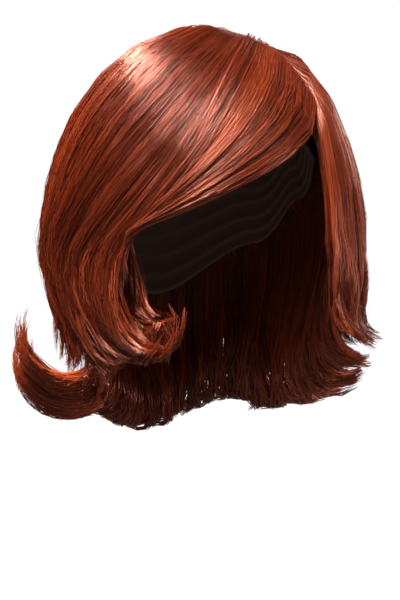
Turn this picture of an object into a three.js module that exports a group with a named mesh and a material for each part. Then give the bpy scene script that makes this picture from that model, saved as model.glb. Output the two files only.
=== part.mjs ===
// A medium-length wig with a side parting, a swept fringe and flicked-out ends.
// Millimetres, +Z up. The face looks along -Y and the wearer's left is +X.
// The origin is the top of the hollow, where the crown of the head sits.
import * as THREE from 'three';

// Driving dimensions
// Both forms are egg-shaped: half-lengths to each side, the face, the back, upwards and downwards.
const CENTRE = new THREE.Vector3(0, 0, -125);
const HAIR = { breadth: 112, front: 107, back: 125, rise: 146, drop: 420 };
const HEAD = { breadth: 76, front: 94, back: 96, rise: 125, drop: 95 };
const CAP_WALL = 1.5;
const CAP_COLUMNS = 40;
const CAP_ROWS = 8;

// Layers of hair: depth of the middle of the layer below the hair's form, thickness, and height of its
// roots above the cap
const TOP_LAYER = { depth: 5, thickness: 9, lift: 10 };
const UNDER_LAYER = { depth: 20, thickness: 7, lift: 3.2 };

// A guide rises from its root over a share of its way over the head, swells over a further share,
// lets go of the head at an elevation, and turns down within a share of its fall.
const CAP_CLEARANCE = 3.2;
const ROOT_RISE = 0.13;
const BULGE_SPAN = 0.55;
const EXIT_ELEVATION = 1;
const TURN_DOWN = 0.3;
const GUIDE_STEPS = 24;

// A lock is thinner in the grooves beside it, ends in a point, and is thinner at its root and tip.
const GROOVE = 0.7;
const NOTCH = 0.07;
const EDGE_GAP = 1;
const FULLNESS = { root: 0.6, full: 0.12, thinning: 0.55, tip: 0.3 };
const LOCK_COLUMNS = 4;
const LOCK_ROWS = 14;
const ROOT_ROW = 0.04;
const ROW_CROWDING = 0.8;
const SLOPE_STEP = 0.004;

// The sewn rows of the under layer lie above the rim, and their hair leaves the cap a little lower.
const WEFT_RISE = 7;
const WEFT_SLOPE = 14;

// The side parting runs from the forehead to the crown.
const PART_FRONT = heading(32, 42.5);
const PART_BACK = heading(116, 81);
const PARTING = new THREE.Line3(PART_FRONT, PART_BACK);
const PART_GAP = 5.4;
const CROWN_GAP = 5;
const ROOT_STEP = 0.002;

// Rim of the cap: elevation seen from the centre, by azimuth from the face round to the nape
const RIM = table(['azimuth', 'elevation'], [
  [0, 45],
  [60, 33],
  [95, 19],
  [130, -3],
  [180, -25],
]);

// Guides of the top layer. root is a share of the parting, via and azimuth say how the hair lies over
// the head, and fall is what hangs below. The hair tucks in, drifts sideways and flips up at its end,
// where turn is the way the flip faces and curl is the share of the fall that it takes.
const TOP_COLUMNS = [
  'root', 'viaAzimuth', 'viaElevation', 'bulge', 'azimuth', 'fall', 'tuck', 'drift', 'flip', 'turn', 'curl',
];

const LEFT_ROWS = table(TOP_COLUMNS, [
  [0.06, 35, 22, 1, 32, 84, 2, 12, 50, 30, 0.38],
  [0.38, 41, 30, 2, 45, 85, 0, 8, 65, 20, 0.38],
  [0.65, 50, 42, 3, 60, 86, 0, 4, 80, 10, 0.38],
  [0.80, 68, 48, 4, 75, 88, 1, 0, 90, 0, 0.38],
  [0.90, 85, 52, 4, 90, 92, 3, 0, 92, 0, 0.38],
  [0.96, 103, 55, 4, 106, 100, 6, 0, 85, 0, 0.37],
  [1.00, 121, 60, 3, 122, 105, 8, 0, 70, 0, 0.36],
]);

const BACK_ROWS = table(TOP_COLUMNS, [
  [1.00, 121, 60, 3, 122, 105, 8, 0, 70, 0, 0.36],
  [1.00, 137, 62, 2, 137, 108, 8, 0, 62, 0, 0.35],
  [1.00, 152, 62, 0, 152, 108, 8, 0, 56, 0, 0.35],
  [1.00, 167, 62, 0, 167, 109, 8, 0, 52, 0, 0.35],
  [1.00, 182, 62, 0, 182, 109, 8, 0, 50, 0, 0.35],
  [1.00, 198, 62, 0, 198, 108, 9, 0, 46, 0, 0.35],
  [1.00, 213, 62, 0, 213, 106, 10, 0, 38, 0, 0.33],
  [1.00, 229, 62, 0, 228, 104, 11, 0, 28, 0, 0.30],
]);

const RIGHT_ROWS = table(TOP_COLUMNS, [
  [1.00, -131, 62, 0, -132, 104, 11, 0, 28, 0, 0.30],
  [0.99, -100, 60, 0, -121, 100, 12, 2, 25, 0, 0.30],
  [0.96, -69, 57, 0, -110, 97, 12, 4, 20, 0, 0.30],
  [0.92, -42, 52, 1, -99, 100, 11, 8, 10, 0, 0.30],
  [0.86, -23, 49, 2, -88, 122, 10, 12, 30, 88, 0.36],
  [0.77, -10, 46, 3, -77, 140, 9, 16, 120, 90, 0.56],
  [0.62, 1, 42, 4, -65, 162, 6, 20, 158, 82, 0.68],
  [0.46, 9, 38, 5, -54, 160, 0, 14, 174, 80, 0.70],
]);

const FRINGE_ROWS = table(TOP_COLUMNS, [
  [0.46, 9, 38, 5, -54, 8, 4, 6, 0, 0, 0.30],
  [0.37, 11, 34, 5, -52, 12, 4, 4, 0, 0, 0.30],
  [0.28, 12, 31, 5, -50, 16, 4, 2, 0, 0, 0.30],
  [0.19, 13, 27, 4, -48, 19, 4, 0, 0, 0, 0.30],
  [0.10, 13, 24, 3, -46, 22, 4, -2, 0, 0, 0.30],
  [0.00, 13, 21, 2, -44, 24, 4, -4, 0, 0, 0.30],
]);

// Guides of the under layer, sewn along the rim at each azimuth
const UNDER_COLUMNS = ['azimuth', 'fall', 'tuck', 'drift', 'flip', 'turn', 'curl'];

const LEFT_UNDER_ROWS = table(UNDER_COLUMNS, [
  [56, 152, 6, 8, 90, 20, 0.40],
  [74, 162, 10, 5, 115, 10, 0.44],
  [93, 168, 13, 0, 125, 0, 0.46],
  [112, 160, 16, 0, 125, 0, 0.48],
  [131, 144, 18, 0, 120, 0, 0.50],
]);

const NAPE_ROWS = table(UNDER_COLUMNS, [
  [136, 126, 19, 0, 120, 0, 0.52],
  [152, 108, 20, 0, 118, 0, 0.54],
  [168, 96, 20, 0, 115, 0, 0.55],
  [184, 96, 20, 0, 115, 0, 0.55],
  [199, 106, 20, 0, 125, 0, 0.55],
  [214, 126, 19, 0, 150, 6, 0.56],
]);

const RIGHT_UNDER_ROWS = table(UNDER_COLUMNS, [
  [-141, 170, 18, 2, 205, 28, 0.62],
  [-126, 212, 28, 4, 222, 14, 0.69],
  [-111, 214, 23, 3, 224, 6, 0.67],
  [-95, 140, 13, 6, 40, 60, 0.36],
  [-70, 126, 8, 12, 100, 85, 0.38],
]);

// Finishes
const AUBURN = new THREE.MeshStandardMaterial({ color: 0x7d3521, roughness: 0.38, metalness: 0 });
const CAP_NET = new THREE.MeshStandardMaterial({ color: 0x2a1712, roughness: 0.9, metalness: 0 });

function table(columns, rows) {
  return rows.map((row) => Object.fromEntries(columns.map((name, i) => [name, row[i]])));
}

function radians(degrees) {
  return THREE.MathUtils.degToRad(degrees);
}

// Direction at an azimuth from the face towards the wearer's left, and an elevation
function heading(azimuth, elevation = 0) {
  const level = Math.cos(radians(elevation));
  return new THREE.Vector3(
    Math.sin(radians(azimuth)) * level,
    -Math.cos(radians(azimuth)) * level,
    Math.sin(radians(elevation)),
  );
}

// Distance from the centre to an egg-shaped form along a direction
function reach(form, direction, wall = 0) {
  const side = direction.x / (form.breadth + wall);
  const fore = direction.y / ((direction.y < 0 ? form.front : form.back) + wall);
  const tall = direction.z / ((direction.z < 0 ? form.drop : form.rise) + wall);
  return 1 / Math.hypot(side, fore, tall);
}

function outFromCentre(direction, distance) {
  return direction.clone().multiplyScalar(distance).add(CENTRE);
}

// Rim elevation at an azimuth, the same on both sides of the head
function rimElevation(azimuth) {
  const turned = Math.abs(THREE.MathUtils.euclideanModulo(azimuth + 180, 360) - 180);
  const next = Math.max(1, RIM.findIndex((row) => row.azimuth >= turned));
  const from = RIM[next - 1];
  const to = RIM[next];
  const share = THREE.MathUtils.smoothstep(turned, from.azimuth, to.azimuth);
  return THREE.MathUtils.lerp(from.elevation, to.elevation, share);
}

// Closed body from an outer and an inner grid of points, both columns by rows, walled round their border
function sheetBody(outer, inner, columns, rows) {
  const inside = outer.length;
  const at = (column, row) => column * (rows + 1) + row;
  const faces = [];
  for (let c = 0; c < columns; c += 1) {
    for (let r = 0; r < rows; r += 1) {
      const a = at(c, r);
      const b = at(c, r + 1);
      const d = at(c + 1, r);
      const e = at(c + 1, r + 1);
      faces.push(a, b, e, a, e, d);
      faces.push(inside + a, inside + e, inside + b, inside + a, inside + d, inside + e);
    }
  }
  const border = [];
  for (let r = 0; r < rows; r += 1) border.push(at(0, r));
  for (let c = 0; c < columns; c += 1) border.push(at(c, rows));
  for (let r = rows; r > 0; r -= 1) border.push(at(columns, r));
  for (let c = columns; c > 0; c -= 1) border.push(at(c, 0));
  border.forEach((a, i) => {
    const b = border[(i + 1) % border.length];
    faces.push(b, a, inside + a, b, inside + a, inside + b);
  });
  return new THREE.BufferGeometry().setFromPoints([...outer, ...inner]).setIndex(faces);
}

// The cap: two shells from the crown down to the rim, joined round the rim
function capGeometry() {
  const points = [];
  const faces = [];
  for (const wall of [CAP_WALL, 0]) {
    const crown = new THREE.Vector3(0, 0, 1);
    points.push(outFromCentre(crown, reach(HEAD, crown, wall)));
    for (let c = 0; c < CAP_COLUMNS; c += 1) {
      const azimuth = 360 * c / CAP_COLUMNS;
      for (let r = 1; r <= CAP_ROWS; r += 1) {
        const elevation = THREE.MathUtils.lerp(90, rimElevation(azimuth), r / CAP_ROWS);
        const direction = heading(azimuth, elevation);
        points.push(outFromCentre(direction, reach(HEAD, direction, wall)));
      }
    }
  }
  const inside = points.length / 2;
  const at = (column, row) => 1 + (column % CAP_COLUMNS) * CAP_ROWS + row - 1;
  for (let c = 0; c < CAP_COLUMNS; c += 1) {
    const shell = [0, at(c, 1), at(c + 1, 1)];
    for (let r = 1; r < CAP_ROWS; r += 1) {
      shell.push(at(c, r), at(c, r + 1), at(c + 1, r + 1));
      shell.push(at(c, r), at(c + 1, r + 1), at(c + 1, r));
    }
    faces.push(...shell, ...shell.map((corner) => corner + inside).reverse());
    const a = at(c, CAP_ROWS);
    const b = at(c + 1, CAP_ROWS);
    faces.push(a, inside + a, inside + b, a, inside + b, b);
  }
  return new THREE.BufferGeometry().setFromPoints(points).setIndex(faces);
}

// Where a guide leaves the cap, passes and lets go of the head
function topRoute(row) {
  return [
    PART_FRONT.clone().lerp(PART_BACK, row.root),
    heading(row.viaAzimuth, row.viaElevation),
    heading(row.azimuth, EXIT_ELEVATION),
  ];
}

function underRoute(row) {
  const sewn = rimElevation(row.azimuth) + WEFT_RISE;
  return [0, 0.5, 1].map((share) => heading(row.azimuth, sewn - share * WEFT_SLOPE));
}

// Share of a guide's way over the head at which it is a distance clear of the parting
function shareClearOfParting(arc, distance) {
  const nearest = new THREE.Vector3();
  let share = 0;
  while (share < 1) {
    const point = arc.getPoint(share);
    PARTING.closestPointToPoint(point, true, nearest);
    if (point.distanceTo(nearest) * HAIR.rise > distance) break;
    share += ROOT_STEP;
  }
  return share;
}

// One guide of hair: over the head from its root, then a fall that tucks in and flips up
function guide(row, section) {
  const [root, via, exit] = section.route(row);
  const arc = new THREE.QuadraticBezierCurve3(root, via, exit);
  const rootShare = section.rootGap ? shareClearOfParting(arc, section.rootGap / 2) : 0;
  const points = [];
  for (let i = 0; i <= GUIDE_STEPS; i += 1) {
    const share = THREE.MathUtils.lerp(rootShare, 1, i / GUIDE_STEPS);
    const direction = arc.getPoint(share).normalize();
    const capTop = reach(HEAD, direction, CAP_WALL);
    const bulge = (row.bulge ?? 0) * Math.sin(Math.PI * Math.min(1, share / BULGE_SPAN));
    const high = Math.max(capTop + CAP_CLEARANCE, reach(HAIR, direction) - section.layer.depth + bulge);
    const low = Math.min(capTop + section.layer.lift, high);
    const lift = THREE.MathUtils.smoothstep(share, 0, ROOT_RISE);
    points.push(outFromCentre(direction, THREE.MathUtils.lerp(low, high, lift)));
  }
  const start = points[GUIDE_STEPS].clone().sub(points[GUIDE_STEPS - 1]).normalize();
  const lean = new THREE.Vector3(0, 0, -1);
  lean.addScaledVector(heading(row.azimuth), -Math.tan(radians(row.tuck)));
  lean.addScaledVector(heading(row.azimuth + 90), Math.tan(radians(row.drift)));
  lean.normalize();
  const flipped = heading(row.azimuth + row.turn);
  const stride = row.fall / GUIDE_STEPS;
  for (let i = 0; i < GUIDE_STEPS; i += 1) {
    const share = (i + 0.5) / GUIDE_STEPS;
    const bend = radians(row.flip) * THREE.MathUtils.smoothstep(share, 1 - row.curl, 1);
    const way = lean.clone().multiplyScalar(Math.cos(bend)).addScaledVector(flipped, Math.sin(bend));
    way.lerp(start, 1 - THREE.MathUtils.smoothstep(share, 0, TURN_DOWN)).normalize();
    points.push(points[points.length - 1].clone().addScaledVector(way, stride));
  }
  return new THREE.CatmullRomCurve3(points);
}

// How full a lock is from its root to its tip, as a share of its thickness
function fullness(share) {
  const swelling = THREE.MathUtils.smoothstep(share, 0, FULLNESS.full);
  const thinning = THREE.MathUtils.smoothstep(share, FULLNESS.thinning, 1);
  return THREE.MathUtils.lerp(FULLNESS.root, 1, swelling) * THREE.MathUtils.lerp(1, FULLNESS.tip, thinning);
}

// Rows of points along a lock: one close to the root, the rest crowding towards the tip
function rowShare(row) {
  const beyond = Math.max(0, row - 1) / (LOCK_ROWS - 1);
  return row === 0 ? 0 : THREE.MathUtils.lerp(ROOT_ROW, 1, beyond ** ROW_CROWDING);
}

// A section of hair: a sheet of locks, ridged outside and smooth inside, with pointed or level tips
function hairGeometry(section) {
  const guides = section.rows.map((row) => guide(row, section));
  const locks = guides.length - 1;
  const notch = section.levelTips ? 0 : NOTCH;
  const lying = (share) => new THREE.CatmullRomCurve3(
    guides.map((curve) => curve.getPointAt(share)), false, 'catmullrom', 0.5,
  );
  const columns = locks * LOCK_COLUMNS;
  const outer = [];
  const inner = [];
  for (let c = 0; c <= columns; c += 1) {
    const across = c / columns;
    const groove = (1 + Math.cos(2 * Math.PI * locks * across)) / 2;
    const length = 1 - notch * groove;
    for (let r = 0; r <= LOCK_ROWS; r += 1) {
      const share = length * rowShare(r);
      const row = lying(share);
      const inset = Math.min(1 / columns, EDGE_GAP / row.getLength());
      const place = THREE.MathUtils.lerp(inset, 1 - inset, across);
      const point = row.getPoint(place);
      const behind = lying(Math.max(0, share - SLOPE_STEP)).getPoint(place);
      const ahead = lying(Math.min(1, share + SLOPE_STEP)).getPoint(place);
      const normal = ahead.sub(behind).cross(row.getTangent(place)).normalize();
      const half = section.layer.thickness / 2 * fullness(share / length);
      outer.push(point.clone().addScaledVector(normal, half * (1 - GROOVE * groove)));
      inner.push(point.clone().addScaledVector(normal, -half));
    }
  }
  return sheetBody(outer, inner, columns, LOCK_ROWS);
}

// The fringe's narrow tips lie on the side hair and end level.
const SECTIONS = [
  { name: 'fringe', rows: FRINGE_ROWS, route: topRoute, layer: TOP_LAYER, rootGap: PART_GAP, levelTips: true },
  { name: 'right_hair', rows: RIGHT_ROWS, route: topRoute, layer: TOP_LAYER, rootGap: PART_GAP },
  { name: 'back_hair', rows: BACK_ROWS, route: topRoute, layer: TOP_LAYER, rootGap: CROWN_GAP },
  { name: 'left_hair', rows: LEFT_ROWS, route: topRoute, layer: TOP_LAYER, rootGap: PART_GAP },
  { name: 'right_under_hair', rows: RIGHT_UNDER_ROWS, route: underRoute, layer: UNDER_LAYER, rootGap: 0 },
  { name: 'left_under_hair', rows: LEFT_UNDER_ROWS, route: underRoute, layer: UNDER_LAYER, rootGap: 0 },
  { name: 'nape_hair', rows: NAPE_ROWS, route: underRoute, layer: UNDER_LAYER, rootGap: 0 },
];

function namedMesh(name, geometry, material) {
  const mesh = new THREE.Mesh(geometry, material);
  mesh.name = name;
  return mesh;
}

const wig = new THREE.Group();
wig.add(namedMesh('cap', capGeometry(), CAP_NET));
for (const section of SECTIONS) {
  wig.add(namedMesh(section.name, hairGeometry(section), AUBURN));
}

export default wig;
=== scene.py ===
"""A medium-length wig with a side parting, a swept fringe and flicked-out ends.

Strands of hair lie along the sections of the part, over a knitted cap. The tables are in millimetres and
degrees, and the scene is in metres: +Z up, the front looks along -Y, the wearer's left is +X.
"""

import math
from collections import namedtuple

import bpy
import numpy as np
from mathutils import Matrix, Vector


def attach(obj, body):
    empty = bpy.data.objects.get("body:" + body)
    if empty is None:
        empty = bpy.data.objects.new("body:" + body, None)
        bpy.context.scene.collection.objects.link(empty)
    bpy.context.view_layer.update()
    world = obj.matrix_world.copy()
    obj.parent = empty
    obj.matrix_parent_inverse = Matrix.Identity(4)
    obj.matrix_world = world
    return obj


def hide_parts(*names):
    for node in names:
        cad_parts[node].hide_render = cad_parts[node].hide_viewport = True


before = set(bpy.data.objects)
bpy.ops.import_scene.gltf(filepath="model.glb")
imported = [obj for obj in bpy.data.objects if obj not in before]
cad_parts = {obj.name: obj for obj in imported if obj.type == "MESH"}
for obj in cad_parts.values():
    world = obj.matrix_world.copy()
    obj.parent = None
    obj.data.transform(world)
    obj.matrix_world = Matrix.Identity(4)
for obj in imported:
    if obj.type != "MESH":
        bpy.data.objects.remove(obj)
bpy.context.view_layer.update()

MM = 0.001

# Forms of the hair and of the cap's inside: half-lengths to each side, front, back, upwards and downwards
CENTRE = np.array((0.0, 0.0, -125.0))
HAIR = {"breadth": 112, "front": 107, "back": 125, "rise": 146, "drop": 420}
CAP_INSIDE = {"breadth": 76, "front": 94, "back": 96, "rise": 125, "drop": 95}
CAP_WALL = 1.5

# Layers of hair: depth of the middle of the layer below the hair's form, thickness, height of its roots
# above the cap, share of a strand's way over which the roots spread, and dip of the root ends
TOP_LAYER = {"depth": 5, "thickness": 9, "lift": 15, "root_spread": 0.3, "root_dip": 1}
UNDER_LAYER = {"depth": 20, "thickness": 7, "lift": 3.2, "root_spread": 0.08, "root_dip": 0}

# A guide stays clear of the cap, rises from its root over a share of its way over the cap, swells over a
# larger share, lets go at an elevation, and turns down within a share of its fall. Guides of the under layer
# are sewn some degrees above the rim and go down a slope before they fall.
CAP_CLEARANCE = 3.2
ROOT_RISE = 0.13
BULGE_SPAN = 0.55
EXIT_ELEVATION = 1
TURN_DOWN = 0.3
GUIDE_STEPS = 24
WEFT_RISE = 7
WEFT_SLOPE = 14

# Sheets through the guides: lines between two guides, reach past the outer guides as a share of the space
# between guides, and steps along
SHEET_COLUMNS = 12
EDGE_OVERLAP = 0.3
SHEET_ROWS = 90

# Rim of the cap: elevation seen from the centre, by azimuth from the front round to the back
RIM = ((0, 45), (60, 33), (95, 19), (130, -3), (180, -25))

# Parting: azimuth and elevation of its ends seen from the centre
PARTING_FRONT = (32, 42.5)
PARTING_BACK = (116, 81)

# Guides of the top layer: share of the way back along the parting of the root, direction that the guide
# passes and swell. All guides: azimuth where it lets go, length of the fall, lean inwards and sideways,
# turn of the end, direction of that turn from the azimuth, and share of the fall that turns
TOP_COLUMNS = (
    "root", "via_azimuth", "via_elevation", "bulge",
    "azimuth", "fall", "tuck", "drift", "flip", "turn", "curl",
)
UNDER_COLUMNS = ("azimuth", "fall", "tuck", "drift", "flip", "turn", "curl")

LEFT_ROWS = (
    (0.45, 31, 26, 1, 32, 84, 2, 12, 50, 30, 0.38),
    (0.58, 41, 31, 2, 45, 85, 0, 8, 65, 20, 0.38),
    (0.70, 51, 42, 3, 60, 86, 0, 4, 80, 10, 0.38),
    (0.80, 68, 48, 4, 75, 88, 1, 0, 90, 0, 0.38),
    (0.90, 85, 52, 4, 90, 92, 3, 0, 92, 0, 0.38),
    (0.96, 103, 55, 4, 106, 100, 6, 0, 85, 0, 0.37),
    (1.00, 121, 60, 3, 122, 105, 8, 0, 70, 0, 0.36),
)
BACK_ROWS = (
    (1.00, 121, 60, 3, 122, 105, 8, 0, 70, 0, 0.36),
    (1.00, 137, 62, 2, 137, 108, 8, 0, 62, 0, 0.35),
    (1.00, 152, 62, 0, 152, 108, 8, 0, 56, 0, 0.35),
    (1.00, 167, 62, 0, 167, 109, 8, 0, 52, 0, 0.35),
    (1.00, 182, 62, 0, 182, 109, 8, 0, 50, 0, 0.35),
    (1.00, 198, 62, 0, 198, 108, 9, 0, 46, 0, 0.35),
    (1.00, 213, 62, 0, 213, 106, 10, 0, 38, 0, 0.33),
    (1.00, 229, 62, 0, 228, 104, 11, 0, 28, 0, 0.30),
)
RIGHT_ROWS = (
    (1.00, -131, 62, 0, -132, 104, 11, 0, 28, 0, 0.30),
    (0.99, -100, 60, 0, -121, 100, 12, 2, 25, 0, 0.30),
    (0.97, -70, 57, 0, -110, 97, 12, 4, 20, 0, 0.30),
    (0.94, -43, 52, 1, -99, 100, 11, 8, 10, 0, 0.30),
    (0.90, -25, 48.5, 2, -88, 122, 10, 12, 30, 88, 0.36),
    (0.85, -14, 45, 3, -77, 140, 9, 16, 120, 90, 0.56),
    (0.82, -12, 40, 4, -65, 162, 6, 20, 158, 82, 0.68),
    (0.79, -14, 34, 5, -54, 160, 0, 14, 174, 80, 0.70),
)
FRINGE_ROWS = (
    (0.79, -14, 34, 5, -54, 34, 4, 4, 0, 0, 0.30),
    (0.73, -3, 31.5, 5, -53, 40, 4, 0, 0, 0, 0.30),
    (0.67, 8, 29, 5, -52, 44, 4, -4, 0, 0, 0.30),
    (0.60, 18, 26.5, 4, -51.5, 48, 4, -8, 0, 0, 0.30),
    (0.53, 27, 23.5, 3, -51, 50, 4, -12, 0, 0, 0.30),
    (0.45, 34, 20, 2, -50, 52, 4, -16, 0, 0, 0.30),
)
LEFT_UNDER_ROWS = (
    (56, 152, 6, 8, 90, 20, 0.40),
    (74, 162, 10, 5, 115, 10, 0.44),
    (93, 168, 13, 0, 125, 0, 0.46),
    (112, 158, 16, 0, 125, 0, 0.48),
    (131, 138, 18, 0, 120, 0, 0.50),
)
NAPE_ROWS = (
    (128, 138, 19, 0, 120, 0, 0.52),
    (148, 114, 20, 0, 118, 0, 0.54),
    (167, 98, 20, 0, 115, 0, 0.55),
    (184, 96, 20, 0, 115, 0, 0.55),
    (199, 106, 20, 0, 125, 0, 0.55),
    (222, 136, 19, 0, 150, 6, 0.56),
)
RIGHT_FLIP_ROWS = (
    (-144, 146, 18, 2, 190, 24, 0.60),
    (-127, 206, 28, 4, 222, 14, 0.69),
    (-111, 214, 23, 3, 224, 6, 0.67),
    (-102, 206, 20, 3, 218, 6, 0.66),
)
RIGHT_UNDER_ROWS = (
    (-112, 128, 16, 4, 30, 40, 0.36),
    (-95, 132, 13, 6, 50, 60, 0.36),
    (-70, 126, 8, 12, 100, 85, 0.38),
)

# Sections of hair: the part's node that each stands for, its layer and the guides that it follows
SECTION_COLUMNS = ("name", "node", "layer", "guide_columns", "guide_rows")
SECTION_ROWS = (
    ("fringe", "fringe", TOP_LAYER, TOP_COLUMNS, FRINGE_ROWS),
    ("right_hair", "right_hair", TOP_LAYER, TOP_COLUMNS, RIGHT_ROWS),
    ("back_hair", "back_hair", TOP_LAYER, TOP_COLUMNS, BACK_ROWS),
    ("left_hair", "left_hair", TOP_LAYER, TOP_COLUMNS, LEFT_ROWS),
    ("right_flip", "right_under_hair", UNDER_LAYER, UNDER_COLUMNS, RIGHT_FLIP_ROWS),
    ("right_under_hair", "right_under_hair", UNDER_LAYER, UNDER_COLUMNS, RIGHT_UNDER_ROWS),
    ("left_under_hair", "left_under_hair", UNDER_LAYER, UNDER_COLUMNS, LEFT_UNDER_ROWS),
    ("nape_hair", "nape_hair", UNDER_LAYER, UNDER_COLUMNS, NAPE_ROWS),
)

# Strands of the sections, in the same order: how many, points along each, radius, pull towards the middles
# of tresses and locks, unevenness of the ends, fullness at the tip, sway, wave, painted light and seed. The
# painted light lifts a section's shades where light falls brighter, as on the flicked ends, and lowers them
# as painted shade where it is below 0
STRAND_COLUMNS = (
    "strands", "points", "radius", "tress_pull", "lock_pull",
    "ragged", "tip", "sway", "wave", "painted_light", "seed",
)
STRAND_ROWS = (
    (2100, 11, 0.24, 0.6, 0.4, 0.3, 0.5, 0.45, 0.0, 0.0, 11),
    (2500, 13, 0.23, 0.6, 0.7, 0.14, 0.6, 0.9, 5.0, -0.05, 23),
    (2250, 11, 0.26, 0.6, 0.5, 0.08, 0.6, 0.6, 3.0, 0.0, 37),
    (2400, 11, 0.24, 0.6, 0.5, 0.1, 0.6, 0.7, 3.0, 0.05, 41),
    (1250, 14, 0.3, 0.35, 0.3, 0.24, 1.3, 0.5, 2.0, 0.4, 53),
    (700, 13, 0.37, 0.35, 0.4, 0.12, 1.2, 0.6, 1.5, 0.1, 59),
    (1600, 11, 0.38, 0.4, 0.45, 0.12, 1.2, 0.7, 2.0, 0.25, 67),
    (1800, 11, 0.46, 0.2, 0.22, 0.08, 1.0, 0.5, 1.5, 0.0, 79),
)

# Groups of strands: tresses and wisps in a lock, shift of the groups from one depth to the next, and the
# draw above which a strand strays
TRESSES = 5
WISPS = 26
GROUP_SHIFT = 0.37
STRAY_ABOVE = 0.955

# Depths of strands in a layer: how many, and the step between them and play about each as shares of half
# the layer's thickness
DEPTHS = 3
DEPTH_STEP = 0.62
DEPTH_PLAY = 0.36

# Strands at the middle depth back the others and have one radius more: how much calmer and shorter they
# are, and radii of the others
BACKING_CALM = 0.6
BACKING_SHORT = 0.25
FACE_RADII = 0.85

# Along a strand: crowding of its points towards the tip, notch between locks as a share of its way, how far
# a stray stands off in millimetres, and waves from root to tip
TIP_CROWDING = 0.5
NOTCH = 0.04
STRAY = 6
WAVES = 2.6

# Sides of a strand, steps of shade from the darkest strand to the lightest, and margins of the maps
STRAND_SIDES = 3
SHADE_BANDS = 48
SHEET_MARGIN = 0.001
BAND_MARGIN = 0.08
TIP_MARGIN = 0.01

# Chance: step between the seeds of two draws, space between strands in the slow noise, and gain that
# spreads it from about -1 to 1
DRAW_STEP = 97
NOISE_SPACING = 7.31
NOISE_GAIN = 3

# Cap: columns round it and rows down its outside, round its bound rim and up its inside, the binding's
# thickness, where the binding starts and lies on the way down from the crown and its half height there,
# and the sewn rows of hair inside: how many, how high, and where they start
CAP_COLUMNS = 120
CAP_OUTSIDE_ROWS = 20
CAP_RIM_ROWS = 9
CAP_INSIDE_ROWS = 90
CAP_BINDING = 1.6
BINDING_START = 0.96
BINDING_MIDDLE = 0.985
BINDING_HALF = 0.012
SEWN_ROWS = 14
SEWN_RELIEF = 1.4
SEWN_START = 0.08


def table(columns, rows):
    """Rows of values as dictionaries with named columns."""
    return [dict(zip(columns, row)) for row in rows]


def unit(vector):
    return vector / np.linalg.norm(vector)


def lerp(a, b, share):
    return a + (b - a) * share


def smoothstep(value, low, high):
    share = np.clip((value - low) / (high - low), 0, 1)
    return share * share * (3 - 2 * share)


def heading(azimuth, elevation=0):
    """Direction at an azimuth from the front towards the wearer's left, and an elevation."""
    a = math.radians(azimuth)
    e = math.radians(elevation)
    return np.array((math.sin(a) * math.cos(e), -math.cos(a) * math.cos(e), math.sin(e)))


def reach(form, direction, wall=0):
    """Distance from the centre to an egg-shaped form along a direction."""
    x, y, z = direction
    side = x / (form["breadth"] + wall)
    fore = y / (form["front" if y < 0 else "back"] + wall)
    tall = z / (form["drop" if z < 0 else "rise"] + wall)
    return 1 / math.hypot(side, fore, tall)


def rim_elevation(azimuth):
    """Rim elevation at an azimuth, the same on both sides."""
    turned = abs((azimuth + 180) % 360 - 180)
    for (a, low), (b, high) in zip(RIM, RIM[1:]):
        if turned <= b:
            return lerp(low, high, smoothstep(turned, a, b))


def route(row):
    """Directions of a guide's root, of the place that it passes and of the place where it lets go."""
    if "root" in row:
        return (
            lerp(heading(*PARTING_FRONT), heading(*PARTING_BACK), row["root"]),
            heading(row["via_azimuth"], row["via_elevation"]),
            heading(row["azimuth"], EXIT_ELEVATION),
        )
    sewn = rim_elevation(row["azimuth"]) + WEFT_RISE
    return [heading(row["azimuth"], sewn - share * WEFT_SLOPE) for share in (0, 0.5, 1)]


def guide(row, layer):
    """Points of one guide: over the cap from its root, then a fall that tucks in and flips up."""
    root, via, leave = route(row)
    points = []
    for i in range(GUIDE_STEPS + 1):
        share = i / GUIDE_STEPS
        direction = unit(lerp(lerp(root, via, share), lerp(via, leave, share), share))
        cap_top = reach(CAP_INSIDE, direction, CAP_WALL)
        bulge = row.get("bulge", 0) * math.sin(math.pi * min(1, share / BULGE_SPAN))
        high = max(cap_top + CAP_CLEARANCE, reach(HAIR, direction) - layer["depth"] + bulge)
        low = min(cap_top + layer["lift"], high)
        points.append(CENTRE + direction * lerp(low, high, smoothstep(share, 0, ROOT_RISE)))
    start = unit(points[-1] - points[-2])
    lean = np.array((0.0, 0.0, -1.0))
    lean -= heading(row["azimuth"]) * math.tan(math.radians(row["tuck"]))
    lean += heading(row["azimuth"] + 90) * math.tan(math.radians(row["drift"]))
    lean = unit(lean)
    flipped = heading(row["azimuth"] + row["turn"])
    for i in range(GUIDE_STEPS):
        share = (i + 0.5) / GUIDE_STEPS
        bend = math.radians(row["flip"]) * smoothstep(share, 1 - row["curl"], 1)
        way = lean * math.cos(bend) + flipped * math.sin(bend)
        way = unit(lerp(start, way, smoothstep(share, 0, TURN_DOWN)))
        points.append(points[-1] + way * row["fall"] / GUIDE_STEPS)
    return np.array(points)


def evenly(points, count):
    """Points spaced evenly along a line of points."""
    steps = np.linalg.norm(np.diff(points, axis=0), axis=1)
    length = np.concatenate(((0.0,), np.cumsum(steps)))
    places = np.linspace(0, length[-1], count)
    return np.stack([np.interp(places, length, points[:, axis]) for axis in range(3)], axis=1)


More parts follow.
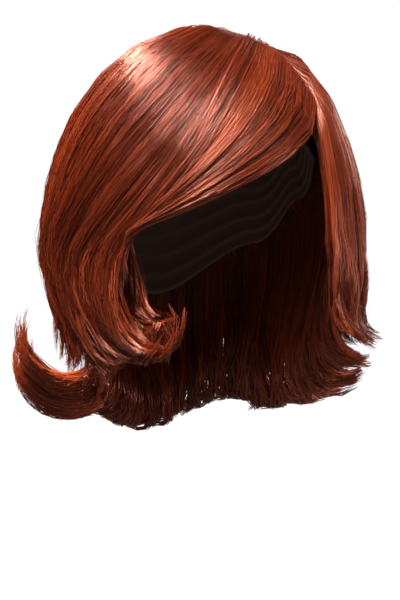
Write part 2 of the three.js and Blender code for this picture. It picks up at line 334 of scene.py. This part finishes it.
def smooth_across(lines, columns):
    """Lines on smooth curves through the given ones, and a little beyond the first and last."""
    first = lerp(lines[0], lines[1], -EDGE_OVERLAP)
    last = lerp(lines[-1], lines[-2], -EDGE_OVERLAP)
    lines = [first, *lines[1:-1], last]
    ends = [2 * lines[0] - lines[1], *lines, 2 * lines[-1] - lines[-2]]
    made = []
    for a, b, c, d in zip(ends, ends[1:], ends[2:], ends[3:]):
        for i in range(columns):
            t = i / columns
            slope_b = (c - a) / 2
            slope_c = (d - b) / 2
            rise = (2 * t**3 - 3 * t**2 + 1) * b + (t**3 - 2 * t**2 + t) * slope_b
            made.append(rise + (3 * t**2 - 2 * t**3) * c + (t**3 - t**2) * slope_c)
    made.append(lines[-1])
    return made


def grid_mesh(name, lines, uv_name):
    """Mesh through lines of points side by side, with a map across and along them."""
    columns = len(lines) - 1
    rows = len(lines[0]) - 1
    points = np.concatenate(lines) * MM
    faces = []
    for c in range(columns):
        for r in range(rows):
            a = c * (rows + 1) + r
            faces.append((a, a + 1, a + rows + 2, a + rows + 1))
    mesh = bpy.data.meshes.new(name)
    mesh.from_pydata(points, [], faces)
    corners = np.array(faces).ravel()
    uv = np.stack((corners // (rows + 1) / columns, corners % (rows + 1) / rows), axis=1)
    mesh.uv_layers.new(name=uv_name).data.foreach_set("uv", uv.ravel())
    mesh.shade_smooth()
    return mesh


def feed(tree, socket, value):
    """Links a field to a socket, or sets the socket's own value."""
    if isinstance(value, Field):
        tree.links.new(value.socket, socket)
    else:
        socket.default_value = value


class Field:
    """A number inside a node tree, worked with in plain arithmetic."""

    def __init__(self, tree, socket):
        self.tree = tree
        self.socket = socket

    def math(self, operation, *others):
        node = self.tree.nodes.new("ShaderNodeMath")
        node.operation = operation
        for socket, value in zip(node.inputs, (self, *others)):
            feed(self.tree, socket, value)
        return Field(self.tree, node.outputs[0])

    def __add__(self, other):
        return self.math("ADD", other)

    def __sub__(self, other):
        return self.math("SUBTRACT", other)

    def __mul__(self, other):
        return self.math("MULTIPLY", other)

    def __truediv__(self, other):
        return self.math("DIVIDE", other)

    def __pow__(self, other):
        return self.math("POWER", other)

    def floor(self):
        return self.math("FLOOR")

    def rest_of_one(self):
        return (self * -1) + 1

    def towards(self, other, share):
        return self + (other - self) * share

    def smooth(self, low, high):
        """0 below low, 1 above high and an even swing between them."""
        node = self.tree.nodes.new("ShaderNodeMapRange")
        node.interpolation_type = "SMOOTHSTEP"
        feed(self.tree, node.inputs["Value"], self)
        feed(self.tree, node.inputs["From Min"], low)
        feed(self.tree, node.inputs["From Max"], high)
        return Field(self.tree, node.outputs["Result"])


def add_node(tree, kind, inputs=None, **settings):
    """A node with its settings, and its inputs by name fed from fields, sockets or plain values."""
    node = tree.nodes.new(kind)
    for name, value in settings.items():
        setattr(node, name, value)
    for name, value in (inputs or {}).items():
        socket = node.inputs[name]
        if isinstance(value, bpy.types.NodeSocket):
            tree.links.new(value, socket)
        else:
            feed(tree, socket, value)
    return node


STRAND_INPUTS = (
    ("Strands", "NodeSocketInt"),
    ("Points", "NodeSocketInt"),
    ("Locks", "NodeSocketInt"),
    ("Seed", "NodeSocketInt"),
    ("Thickness", "NodeSocketFloat"),
    ("Strand Radius", "NodeSocketFloat"),
    ("Root Spread", "NodeSocketFloat"),
    ("Root Dip", "NodeSocketFloat"),
    ("Raggedness", "NodeSocketFloat"),
    ("Notch", "NodeSocketFloat"),
    ("Tress Pull", "NodeSocketFloat"),
    ("Lock Pull", "NodeSocketFloat"),
    ("Tip Fullness", "NodeSocketFloat"),
    ("Sway", "NodeSocketFloat"),
    ("Wave", "NodeSocketFloat"),
    ("Stray", "NodeSocketFloat"),
    ("Lightness", "NodeSocketFloat"),
    ("Finish", "NodeSocketMaterial"),
)

Group = namedtuple("Group", ("number", "who", "middle"))


class StrandTree:
    """Node tree that lays strands of hair along a sheet, gathered into wisps, tresses and locks.

    Its fields belong to one point of a strand. Strands at each depth have groups of their own, so that no
    gaps line up through the layer.
    """

    def __init__(self):
        self.tree = bpy.data.node_groups.new("strands", "GeometryNodeTree")
        sockets = self.tree.interface
        sockets.new_socket("Sheet", in_out="INPUT", socket_type="NodeSocketGeometry")
        for name, kind in STRAND_INPUTS:
            sockets.new_socket(name, in_out="INPUT", socket_type=kind)
        sockets.new_socket("Hair", in_out="OUTPUT", socket_type="NodeSocketGeometry")
        self.given = self.tree.nodes.new("NodeGroupInput").outputs
        self.size = {name: Field(self.tree, self.given[name]) for name, _ in STRAND_INPUTS}
        self.locks = self.size["Locks"]
        self.count_points()
        self.root_strands()
        self.finish(self.tubes(self.lines()))

    def dice(self, number, low, high, who):
        """A draw of each strand or group, between a low and a high value."""
        node = add_node(self.tree, "FunctionNodeRandomValue", data_type="FLOAT")
        node.inputs[2].default_value = low
        node.inputs[3].default_value = high
        feed(self.tree, node.inputs["ID"], who)
        feed(self.tree, node.inputs["Seed"], self.size["Seed"] + number * DRAW_STEP)
        return Field(self.tree, node.outputs[1])

    def drifting(self, who, pace, number):
        """A value between about -1 and 1 that changes slowly along a strand."""
        where = {"X": who * NOISE_SPACING, "Y": self.along * pace, "Z": self.size["Seed"] + number}
        place = add_node(self.tree, "ShaderNodeCombineXYZ", where).outputs[0]
        noise = add_node(self.tree, "ShaderNodeTexNoise", {"Vector": place, "Scale": 1.0, "Detail": 0.0})
        return (Field(self.tree, noise.outputs[0]) - 0.5) * NOISE_GAIN

    def count_points(self):
        """Which strand a point is on, and its way along the strand from 0 to 1.

        A nudge keeps the first point of a strand from rounding down to the strand before it.
        """
        nudge = 0.0001
        points = self.size["Points"]
        self.index = Field(self.tree, self.tree.nodes.new("GeometryNodeInputIndex").outputs[0])
        self.strand = (self.index / points + nudge).floor()
        self.along = (self.index - self.strand * points) / (points - 1)

    def root_strands(self):
        """Where a strand is rooted across its section, how deep it lies, its kind and its groups."""
        self.rooted = (self.strand + self.dice(1, 0.0, 1.0, self.strand)) / self.size["Strands"]
        self.deep = self.strand.math("MODULO", DEPTHS)
        self.outer = (self.deep - 1) * DEPTH_STEP + self.dice(3, -DEPTH_PLAY, DEPTH_PLAY, self.strand)
        self.stray = self.dice(5, 0.0, 1.0, self.strand).math("GREATER_THAN", STRAY_ABOVE)
        self.backing = (self.deep - 1).math("ABSOLUTE").rest_of_one()
        self.lively = self.backing * -BACKING_CALM + 1
        self.groove = ((self.rooted * self.locks * math.tau).math("COSINE") + 1) / 2
        self.lock = self.group(self.locks)
        self.tress = self.group(self.locks * TRESSES)
        self.wisp = self.group(self.locks * WISPS)

    def group(self, count):
        """A strand's group: its number across the section, its name among all depths and its middle."""
        number = (self.rooted * count + self.deep * GROUP_SHIFT).floor()
        who = number * DEPTHS + self.deep
        middle = (number + self.dice(4, 0.3, 0.7, who) - self.deep * GROUP_SHIFT) / count
        return Group(number, who, middle)

    def across(self):
        """Place across the section: strands that don't stray gather towards their groups, and all swing."""
        along = self.along
        pull = self.size["Tress Pull"]
        kept = self.stray.rest_of_one() * self.lively
        to_wisp = along.smooth(0.0, 0.7) * pull * 0.85
        to_tress = along.smooth(0.4, 1.0) * pull * self.dice(6, 0.2, 1.0, self.tress.who)
        to_lock = along.smooth(0.5, 1.0) * self.size["Lock Pull"] * self.dice(7, 0.6, 1.2, self.lock.who)
        place = self.rooted.towards(self.wisp.middle, to_wisp * kept)
        place = place.towards(self.tress.middle, to_tress * kept)
        place = place.towards(self.lock.middle, to_lock * kept)
        swing = self.drifting(self.lock.who, 1.6, 3) * 0.7 + self.drifting(self.tress.who, 2.4, 17) * 0.6
        swing = swing + self.drifting(self.wisp.who, 3.5, 29) * 0.25
        swing = swing + self.drifting(self.strand, 3.0, 31) * (self.stray * 1.4 + 0.08)
        place = place + swing * self.lively * along.smooth(0.05, 0.9) * self.size["Sway"] / self.locks
        return place.math("MAXIMUM", SHEET_MARGIN).math("MINIMUM", 1 - SHEET_MARGIN)

    def share(self):
        """Share of the section's way: inner strands start late, and a tress's outer ones end early."""
        spread = self.outer.rest_of_one() * 0.5 * self.size["Root Spread"]
        start = spread * self.dice(9, 0.3, 1.0, self.strand)
        tress_place = self.rooted * self.locks * TRESSES + self.deep * GROUP_SHIFT - self.tress.number
        aside = (tress_place * 2 - 1).math("ABSOLUTE")
        ragged = self.dice(10, 0.0, 1.0, self.strand) ** 2.0 * 0.4
        ragged = ragged + self.dice(11, 0.0, 1.0, self.tress.who) * 0.3 + aside**2.0 * 0.3
        ragged = ragged + self.backing * BACKING_SHORT
        end = (self.groove * self.size["Notch"] + ragged * self.size["Raggedness"]).rest_of_one()
        crowded = self.along * (self.along * -TIP_CROWDING + (1 + TIP_CROWDING))
        return start.towards(end, crowded).math("MINIMUM", 1 - SHEET_MARGIN)

    def depth(self, share):
        """Height in the layer: locks are thin at their roots and in grooves, and change at their tips."""
        along = self.along
        thickness = self.size["Thickness"]
        tip = along.smooth(0.6, 1.0) * (self.size["Tip Fullness"] - 1) + 1
        full = (share.smooth(0.0, 0.12) * 0.6 + 0.4) * tip
        crest = self.outer - self.outer.math("MAXIMUM", 0.0) * self.groove * along.smooth(0.1, 0.6) * 0.6
        dip = along.smooth(0.0, 0.1).rest_of_one() * self.size["Root Dip"]
        ripple = self.drifting(self.tress.who, 2.0, 43) * 0.2 + self.drifting(self.wisp.who, 5.0, 47) * 0.08
        turns = share * WAVES + self.dice(16, 0.0, 0.5, self.lock.who)
        turns = turns + self.dice(17, 0.0, 0.4, self.tress.who)
        flown = (self.drifting(self.strand, 2.5, 59) + 0.6).math("MAXIMUM", 0.0)
        flown = flown * self.dice(12, 0.1, 1.0, self.strand)
        depth = crest * full * thickness / 2 - dip
        depth = depth + ripple * along.smooth(0.05, 0.6) * thickness
        depth = depth + (turns * math.tau).math("SINE") * along.smooth(0.4, 0.8) * self.size["Wave"]
        return depth + self.stray * along.smooth(0.1, 1.0) * flown * self.size["Stray"]

    def on_sheet(self, kind, spot):
        """What the sheet has at a spot of its map, such as its position."""
        chart = add_node(
            self.tree, "GeometryNodeInputNamedAttribute", {"Name": "lie"}, data_type="FLOAT_VECTOR")
        sample = add_node(self.tree, "GeometryNodeSampleUVSurface", data_type="FLOAT_VECTOR")
        self.tree.links.new(self.given["Sheet"], sample.inputs["Mesh"])
        self.tree.links.new(self.tree.nodes.new(kind).outputs[0], sample.inputs["Value"])
        self.tree.links.new(chart.outputs[0], sample.inputs["UV Map"])
        self.tree.links.new(spot, sample.inputs["Sample UV"])
        return sample.outputs[0]

    def laid(self):
        """Position of a point: its spot on the sheet, raised by its height in the layer."""
        share = self.share()
        spot = add_node(self.tree, "ShaderNodeCombineXYZ", {"X": self.across(), "Y": share}).outputs[0]
        lifted = add_node(self.tree, "ShaderNodeVectorMath", operation="SCALE")
        self.tree.links.new(self.on_sheet("GeometryNodeInputNormal", spot), lifted.inputs[0])
        feed(self.tree, lifted.inputs["Scale"], self.depth(share))
        laid = add_node(self.tree, "ShaderNodeVectorMath", operation="ADD")
        self.tree.links.new(self.on_sheet("GeometryNodeInputPosition", spot), laid.inputs[0])
        self.tree.links.new(lifted.outputs[0], laid.inputs[1])
        return laid.outputs[0]

    def store(self, geometry, name, value, domain, kind="FLOAT"):
        """The geometry with a value kept under a name."""
        inputs = {"Name": name, "Geometry": geometry}
        node = add_node(self.tree, "GeometryNodeStoreNamedAttribute", inputs, data_type=kind, domain=domain)
        self.tree.links.new(value, node.inputs["Value"])
        return node.outputs[0]

    def stored(self, name):
        node = add_node(self.tree, "GeometryNodeInputNamedAttribute", {"Name": name}, data_type="FLOAT")
        return Field(self.tree, node.outputs[0])

    def lines(self):
        """Curves of the strands, whose points keep their thickness and band of shade."""
        count = self.size["Strands"] * self.size["Points"]
        dots = add_node(self.tree, "GeometryNodePoints", {"Count": count, "Position": self.laid()}).outputs[0]
        shade = self.dice(13, 0.0, 0.45, self.tress.who) + self.dice(14, 0.0, 0.55, self.strand)
        # Painted light lifts the shades of a section, and painted shade lowers them where it is below 0
        shade = shade + self.size["Lightness"]
        band = (shade * SHADE_BANDS).floor().math("MINIMUM", SHADE_BANDS - 1).math("MAXIMUM", 0.0)
        taper = (self.along**3.0 * -0.5 + 1) * self.dice(15, 0.75, 1.2, self.strand)
        taper = taper * (self.backing + FACE_RADII) * (self.stray * -0.5 + 1)
        dots = self.store(dots, "along", self.along.socket, "POINT")
        dots = self.store(dots, "strand", self.strand.socket, "POINT")
        dots = self.store(dots, "band", band.socket, "POINT")
        dots = self.store(dots, "thick", (taper * self.size["Strand Radius"]).socket, "POINT")
        joined = {"Points": dots, "Curve Group ID": self.stored("strand"), "Weight": self.stored("along")}
        return add_node(self.tree, "GeometryNodePointsToCurves", joined).outputs[0]

    def tubes(self, curves):
        """Closed tubes along the curves, with one map of shade and way for the finish and for baking."""
        ring = add_node(
            self.tree, "GeometryNodeCurvePrimitiveCircle", {"Resolution": STRAND_SIDES, "Radius": 1.0})
        ring = self.store(ring.outputs[0], "around", (self.index / STRAND_SIDES).socket, "POINT")
        shape = {"Curve": curves, "Profile Curve": ring, "Scale": self.stored("thick"), "Fill Caps": True}
        hair = add_node(self.tree, "GeometryNodeCurveToMesh", shape).outputs[0]
        around = self.stored("around") * (1 - 2 * BAND_MARGIN) + BAND_MARGIN
        over = (self.stored("band") + around) / SHADE_BANDS
        along = self.stored("along") * (1 - 2 * TIP_MARGIN) + TIP_MARGIN
        chart = add_node(self.tree, "ShaderNodeCombineXYZ", {"X": over, "Y": along})
        for name in ("OFBake", "strand_map"):
            hair = self.store(hair, name, chart.outputs[0], "CORNER", "FLOAT2")
        return hair

    def finish(self, hair):
        """Ends the tree in a smooth plain mesh with the hair's material."""
        smooth = add_node(self.tree, "GeometryNodeSetShadeSmooth", {"Geometry": hair})
        whole = add_node(self.tree, "GeometryNodeRealizeInstances", {"Geometry": smooth.outputs[0]})
        worn = {"Geometry": whole.outputs[0], "Material": self.given["Finish"]}
        painted = add_node(self.tree, "GeometryNodeSetMaterial", worn)
        self.tree.links.new(painted.outputs[0], self.tree.nodes.new("NodeGroupOutput").inputs["Hair"])


def made_by_tree(name, mesh, tree, settings):
    """A plain mesh object from a node tree run on a mesh."""
    source = bpy.data.objects.new(name + "_source", mesh)
    bpy.context.scene.collection.objects.link(source)
    modifier = source.modifiers.new("strands", "NODES")
    modifier.node_group = tree
    inputs = [item for item in tree.interface.items_tree if item.in_out == "INPUT"]
    sockets = {item.name: item.identifier for item in inputs}
    for key, value in settings.items():
        modifier[sockets[key]] = value
    depsgraph = bpy.context.evaluated_depsgraph_get()
    made = bpy.data.meshes.new_from_object(source.evaluated_get(depsgraph), depsgraph=depsgraph)
    bpy.data.objects.remove(source)
    for scratch in ("along", "strand", "band", "thick", "around"):
        made.attributes.remove(made.attributes[scratch])
    made.name = name
    piece = bpy.data.objects.new(name, made)
    bpy.context.scene.collection.objects.link(piece)
    return piece


def hair_material():
    """Glossy auburn fibre: each strand has its own shade, darker towards its root, partly as a rooted tone
    and partly as painted shade where the hair dips at the parting.
    """
    material = bpy.data.materials.new("auburn_hair")
    material.use_nodes = True
    tree = material.node_tree
    shader = tree.nodes["Principled BSDF"]
    chart = add_node(tree, "ShaderNodeUVMap", uv_map="strand_map")
    split = tree.nodes.new("ShaderNodeSeparateXYZ")
    tree.links.new(chart.outputs[0], split.inputs[0])
    shade = (Field(tree, split.outputs["X"]) * SHADE_BANDS).floor() / SHADE_BANDS
    # Darker roots: partly a rooted tone, partly painted shade for the dark along the parting
    root = Field(tree, split.outputs["Y"]).smooth(0.0, 0.45)
    ramp = add_node(tree, "ShaderNodeValToRGB", {"Fac": shade * (root * 0.5 + 0.5)})
    stops = ramp.color_ramp.elements
    stops[0].color = (0.06, 0.006, 0.0013, 1)
    stops[1].color = (0.46, 0.075, 0.021, 1)
    middle = stops.new(0.5)
    middle.color = (0.21, 0.026, 0.0055, 1)
    tree.links.new(ramp.outputs["Color"], shader.inputs["Base Color"])
    shader.inputs["Metallic"].default_value = 0.4
    shader.inputs["Roughness"].default_value = 0.25
    shader.inputs["Specular IOR Level"].default_value = 1.0
    shader.inputs["Specular Tint"].default_value = (1.0, 0.76, 0.66, 1)
    return material


def plain_material(name, colour, roughness):
    material = bpy.data.materials.new(name)
    material.use_nodes = True
    shader = material.node_tree.nodes["Principled BSDF"]
    shader.inputs["Base Color"].default_value = (*colour, 1)
    shader.inputs["Roughness"].default_value = roughness
    return material


def cap_profile(azimuth):
    """Points of the cap down its outside, round the bound rim and up its inside with sewn rows of hair."""
    low = rim_elevation(azimuth)
    places = [(share, CAP_WALL) for share in np.linspace(0, BINDING_START, CAP_OUTSIDE_ROWS)]
    for turn in np.linspace(60, 300, CAP_RIM_ROWS):
        away = math.cos(math.radians(turn - 90)) * CAP_BINDING
        places.append((BINDING_MIDDLE - BINDING_HALF * math.cos(math.radians(turn)), CAP_WALL / 2 + away))
    for share in np.linspace(BINDING_START, 0, CAP_INSIDE_ROWS):
        raised = SEWN_RELIEF * (share * SEWN_ROWS % 1) ** 2
        places.append((share, -raised * (share > SEWN_START)))
    points = []
    for share, wall in places:
        direction = heading(azimuth, lerp(90, low, share))
        points.append((CENTRE + direction * reach(CAP_INSIDE, direction, wall)) * MM)
    return points


def cap_mesh():
    """Closed skin of the cap, a profile at each of its columns joined at the crown."""
    profiles = [cap_profile(360 * c / CAP_COLUMNS) for c in range(CAP_COLUMNS)]
    rows = len(profiles[0]) - 2
    points = [profiles[0][0], profiles[0][-1]]
    faces = []
    for c, profile in enumerate(profiles):
        points.extend(profile[1:-1])
        here = 2 + c * rows
        there = 2 + (c + 1) % CAP_COLUMNS * rows
        faces.append((0, here, there))
        faces.extend((here + r, here + r + 1, there + r + 1, there + r) for r in range(rows - 1))
        faces.append((1, there + rows - 1, here + rows - 1))
    mesh = bpy.data.meshes.new("cap_net")
    mesh.from_pydata(points, [], faces)
    mesh.shade_smooth()
    return mesh


# Hair
auburn = hair_material()
strands = StrandTree().tree
for section, style in zip(table(SECTION_COLUMNS, SECTION_ROWS), table(STRAND_COLUMNS, STRAND_ROWS)):
    layer = section["layer"]
    rows = table(section["guide_columns"], section["guide_rows"])
    guides = [evenly(guide(row, layer), SHEET_ROWS + 1) for row in rows]
    sheet = grid_mesh(section["name"] + "_sheet", smooth_across(guides, SHEET_COLUMNS), "lie")
    piece = made_by_tree(section["name"] + "_strands", sheet, strands, {
        "Strands": style["strands"],
        "Points": style["points"],
        "Locks": len(guides) - 1,
        "Seed": style["seed"],
        "Thickness": layer["thickness"] * MM,
        "Strand Radius": style["radius"] * MM,
        "Root Spread": layer["root_spread"],
        "Root Dip": layer["root_dip"] * MM,
        "Raggedness": style["ragged"],
        "Notch": NOTCH,
        "Tress Pull": style["tress_pull"],
        "Lock Pull": style["lock_pull"],
        "Tip Fullness": style["tip"],
        "Sway": style["sway"],
        "Wave": style["wave"] * MM,
        "Stray": STRAY * MM,
        "Lightness": style["painted_light"],
        "Finish": auburn,
    })
    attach(piece, "root")
    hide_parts(section["node"])

# Cap
cap = bpy.data.objects.new("cap_net", cap_mesh())
bpy.context.scene.collection.objects.link(cap)
cap.data.materials.append(plain_material("cap_knit", (0.13, 0.070, 0.050), 0.85))
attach(cap, "root")
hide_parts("cap")

# Floor
FLOOR_LEVEL = -0.45
FLOOR_HALF = 6.0
floor_mesh = bpy.data.meshes.new("floor")
corners = [(x * FLOOR_HALF, y * FLOOR_HALF, FLOOR_LEVEL) for x, y in ((-1, -1), (1, -1), (1, 1), (-1, 1))]
floor_mesh.from_pydata(corners, [], [(0, 1, 2, 3)])
floor_finish = plain_material("pale_floor", (0.35, 0.35, 0.35), 0.9)
floor_shader = floor_finish.node_tree.nodes["Principled BSDF"]
floor_shader.inputs["Emission Color"].default_value = (1, 1, 1, 1)
floor_shader.inputs["Emission Strength"].default_value = 0.92
floor_mesh.materials.append(floor_finish)
floor = bpy.data.objects.new("floor", floor_mesh)
floor.visible_diffuse = False
floor.visible_glossy = False
bpy.context.scene.collection.objects.link(floor)

# Light: a key and a back light high on the wearer's right, a low light on the wearer's left, and weak fills
LIGHT_COLUMNS = ("name", "azimuth", "elevation", "distance", "size", "power", "colour")
LIGHT_ROWS = (
    ("key", -54, 58, 1.8, 0.7, 155, (1.0, 0.99, 0.98)),
    ("brow", -12, 58, 1.8, 0.6, 12, (1.0, 0.97, 0.95)),
    ("fill", -66, 30, 1.8, 0.7, 3, (1.0, 0.97, 0.94)),
    ("back", -136, 52, 1.8, 0.6, 85, (1.0, 0.98, 0.96)),
    ("low", 58, -4, 1.8, 0.7, 18, (1.0, 0.96, 0.95)),
    ("left", 108, 18, 1.8, 0.7, 10, (0.95, 0.97, 1.0)),
)
middle = Vector((0.0, 0.0, -0.11))
for row in table(LIGHT_COLUMNS, LIGHT_ROWS):
    lamp = bpy.data.lights.new(row["name"], "AREA")
    lamp.shape = "DISK"
    lamp.size = row["size"]
    lamp.energy = row["power"]
    lamp.color = row["colour"]
    light = bpy.data.objects.new(row["name"], lamp)
    away = Vector(heading(row["azimuth"], row["elevation"]))
    light.location = middle + away * row["distance"]
    light.rotation_euler = away.to_track_quat("Z", "Y").to_euler()
    light.visible_camera = False
    bpy.context.scene.collection.objects.link(light)

# Studio round about: weak as a light, and brighter by a further amount where the camera sees it
WORLD_LIGHT = 0.22
WORLD_SEEN = 0.83
world = bpy.data.worlds.new("studio")
world.use_nodes = True
bpy.context.scene.world = world
world_tree = world.node_tree
background = world_tree.nodes["Background"]
seen = Field(world_tree, world_tree.nodes.new("ShaderNodeLightPath").outputs["Is Camera Ray"])
background.inputs["Color"].default_value = (1, 1, 1, 1)
world_tree.links.new((seen * WORLD_SEEN + WORLD_LIGHT).socket, background.inputs["Strength"])

# Camera at the viewing angle of the photo, aimed a little aside from the middle of the cap
CAMERA_AZIMUTH = -25
CAMERA_DISTANCE = 2.0
MM_PER_PIXEL = 0.69
IMAGE_HEIGHT = 600
AIM_ASIDE = -4.14
AIM_LEVEL = -169.7
back = Vector(heading(CAMERA_AZIMUTH))
right = Vector((math.cos(math.radians(CAMERA_AZIMUTH)), math.sin(math.radians(CAMERA_AZIMUTH)), 0))
aim = right * AIM_ASIDE * MM + Vector((0, 0, AIM_LEVEL * MM))
lens = bpy.data.cameras.new("camera")
lens.sensor_width = 36
lens.lens = lens.sensor_width * CAMERA_DISTANCE / (IMAGE_HEIGHT * MM_PER_PIXEL * MM)
camera = bpy.data.objects.new("camera", lens)
camera.location = aim + back * CAMERA_DISTANCE
camera.rotation_euler = back.to_track_quat("Z", "Y").to_euler()
bpy.context.scene.collection.objects.link(camera)
bpy.context.scene.camera = camera
bpy.context.scene.view_settings.view_transform = "Standard"
